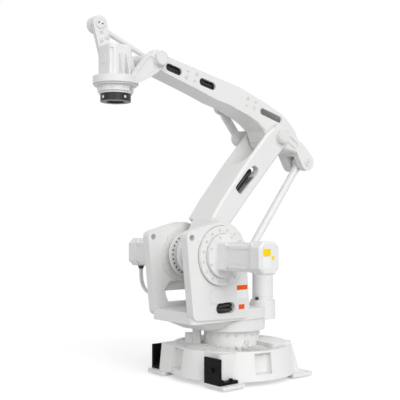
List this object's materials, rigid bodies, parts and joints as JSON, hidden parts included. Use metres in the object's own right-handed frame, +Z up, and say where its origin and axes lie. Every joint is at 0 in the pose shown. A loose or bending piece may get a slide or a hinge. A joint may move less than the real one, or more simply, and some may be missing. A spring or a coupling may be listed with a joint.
{
  "type": "industrial robot arm",
  "caption": "White floor-standing palletising robot arm with a parallel rod linkage that keeps its black turning disc level.",
  "frame": {"origin": "on the floor, where the vertical turning axis meets it", "axes": "+X forward from the base, +Y to the robot's left, +Z up"},
  "size_m": [1.6369, 1.245, 2.0886],
  "materials": {
    "base_casting": "satin white paint",
    "base_pad_1": "machined steel",
    "base_pad_2": "machined steel",
    "base_pad_3": "machined steel",
    "base_pad_4": "machined steel",
    "floor_bracket_left": "black coated steel",
    "floor_bracket_right": "black coated steel",
    "turret_casting": "satin white paint",
    "near_gear_housing": "satin white paint",
    "far_gear_housing": "satin white paint",
    "near_motor": "satin white paint",
    "near_motor_cap": "satin white paint",
    "far_motor": "satin white paint",
    "far_motor_cap": "satin white paint",
    "turning_motor": "satin white paint",
    "access_cover": "satin white paint",
    "motor_cable_power": "white cable jacket",
    "motor_cable_signal": "white cable jacket",
    "cable_relief": "black plastic",
    "lower_arm": "satin white paint",
    "elbow_pin": "machined steel",
    "crank": "satin white paint",
    "crank_pin": "machined steel",
    "drive_rod": "satin white paint",
    "lower_levelling_rod": "satin white paint",
    "levelling_link": "satin white paint",
    "upper_arm": "satin white paint",
    "rear_pin": "machined steel",
    "wrist_pin": "machined steel",
    "upper_levelling_rod": "satin white paint",
    "tilt_house": "satin white paint",
    "wrist_motor": "satin white paint",
    "turning_disc": "black coated steel"
  },
  "bodies": {
    "base": {"base_casting": "base_casting", "base_pad_1": "base_pad_1", "base_pad_2": "base_pad_2", "base_pad_3": "base_pad_3", "base_pad_4": "base_pad_4", "floor_bracket_left": "floor_bracket_left", "floor_bracket_right": "floor_bracket_right"},
    "turret": {"turret_casting": "turret_casting", "near_gear_housing": "near_gear_housing", "far_gear_housing": "far_gear_housing", "near_motor": "near_motor", "near_motor_cap": "near_motor_cap", "far_motor": "far_motor", "far_motor_cap": "far_motor_cap", "turning_motor": "turning_motor", "access_cover": "access_cover", "motor_cable_power": "motor_cable_power", "motor_cable_signal": "motor_cable_signal", "cable_relief": "cable_relief"},
    "lower_arm": {"lower_arm": "lower_arm", "elbow_pin": "elbow_pin"},
    "crank": {"crank": "crank"},
    "crank_pin": {"crank_pin": "crank_pin"},
    "drive_rod": {"drive_rod": "drive_rod"},
    "lower_levelling_rod": {"lower_levelling_rod": "lower_levelling_rod"},
    "levelling_link": {"levelling_link": "levelling_link"},
    "upper_arm": {"upper_arm": "upper_arm", "rear_pin": "rear_pin", "wrist_pin": "wrist_pin"},
    "upper_levelling_rod": {"upper_levelling_rod": "upper_levelling_rod"},
    "tilt_house": {"tilt_house": "tilt_house", "wrist_motor": "wrist_motor"},
    "turning_disc": {"turning_disc": "turning_disc"}
  },
  "joints": [
    {"name": "axis_1", "type": "hinge", "parent": "base", "child": "turret", "pos_m": [0, 0, 0.286], "axis": [0, 0, 1], "range_deg": [-165, 165]},
    {"name": "axis_2", "type": "hinge", "parent": "turret", "child": "lower_arm", "pos_m": [0.26, 0, 0.7425], "axis": [0, 1, 0], "range_deg": [-1.77, 78.23]},
    {"name": "axis_3", "type": "hinge", "parent": "levelling_link", "child": "upper_arm", "pos_m": [-0.32478, 0, 1.48483], "axis": [0, 1, 0], "range_deg": [0, 48.79]},
    {"name": "axis_6", "type": "hinge", "parent": "tilt_house", "child": "turning_disc", "pos_m": [0.85347, 0, 1.59665], "axis": [0, 0, -1], "range_deg": [-300, 300]},
    {"name": "link_level", "type": "hinge", "parent": "lower_arm", "child": "levelling_link", "pos_m": [-0.32478, 0, 1.48483], "axis": [0, 1, 0], "range_deg": [-78.23, 1.77]},
    {"name": "lower_level_rod_pivot", "type": "hinge", "parent": "turret", "child": "lower_levelling_rod", "pos_m": [0.16, 0, 0.7425], "axis": [0, 1, 0], "range_deg": [-1.77, 78.23]},
    {"name": "upper_level_rod_pivot", "type": "hinge", "parent": "levelling_link", "child": "upper_levelling_rod", "pos_m": [-0.05479, 0, 1.67683], "axis": [0, 1, 0], "range_deg": [0, 48.79]},
    {"name": "crank_turn", "type": "hinge", "parent": "turret", "child": "crank", "pos_m": [0.26, 0, 0.7425], "axis": [0, 1, 0], "range_deg": [0, 48.79]},
    {"name": "crank_pin_turn", "type": "hinge", "parent": "crank", "child": "crank_pin", "pos_m": [-0.0156, 0, 0.5933], "axis": [0, 1, 0], "range_deg": [-48.79, 0]},
    {"name": "drive_rod_pivot", "type": "hinge", "parent": "crank_pin", "child": "drive_rod", "pos_m": [-0.0156, 0, 0.5933], "axis": [0, 1, 0], "range_deg": [-1.77, 78.23]},
    {"name": "wrist_level", "type": "hinge", "parent": "upper_arm", "child": "tilt_house", "pos_m": [0.63348, 0, 1.84865], "axis": [0, 1, 0], "range_deg": [-48.79, 0]}
  ],
  "couplings": [
    {"joint": "link_level", "follows": "axis_2", "ratio": -1},
    {"joint": "lower_level_rod_pivot", "follows": "axis_2", "ratio": 1},
    {"joint": "drive_rod_pivot", "follows": "axis_2", "ratio": 1},
    {"joint": "upper_level_rod_pivot", "follows": "axis_3", "ratio": 1},
    {"joint": "crank_turn", "follows": "axis_3", "ratio": 1},
    {"joint": "crank_pin_turn", "follows": "axis_3", "ratio": -1},
    {"joint": "wrist_level", "follows": "axis_3", "ratio": -1}
  ]
}
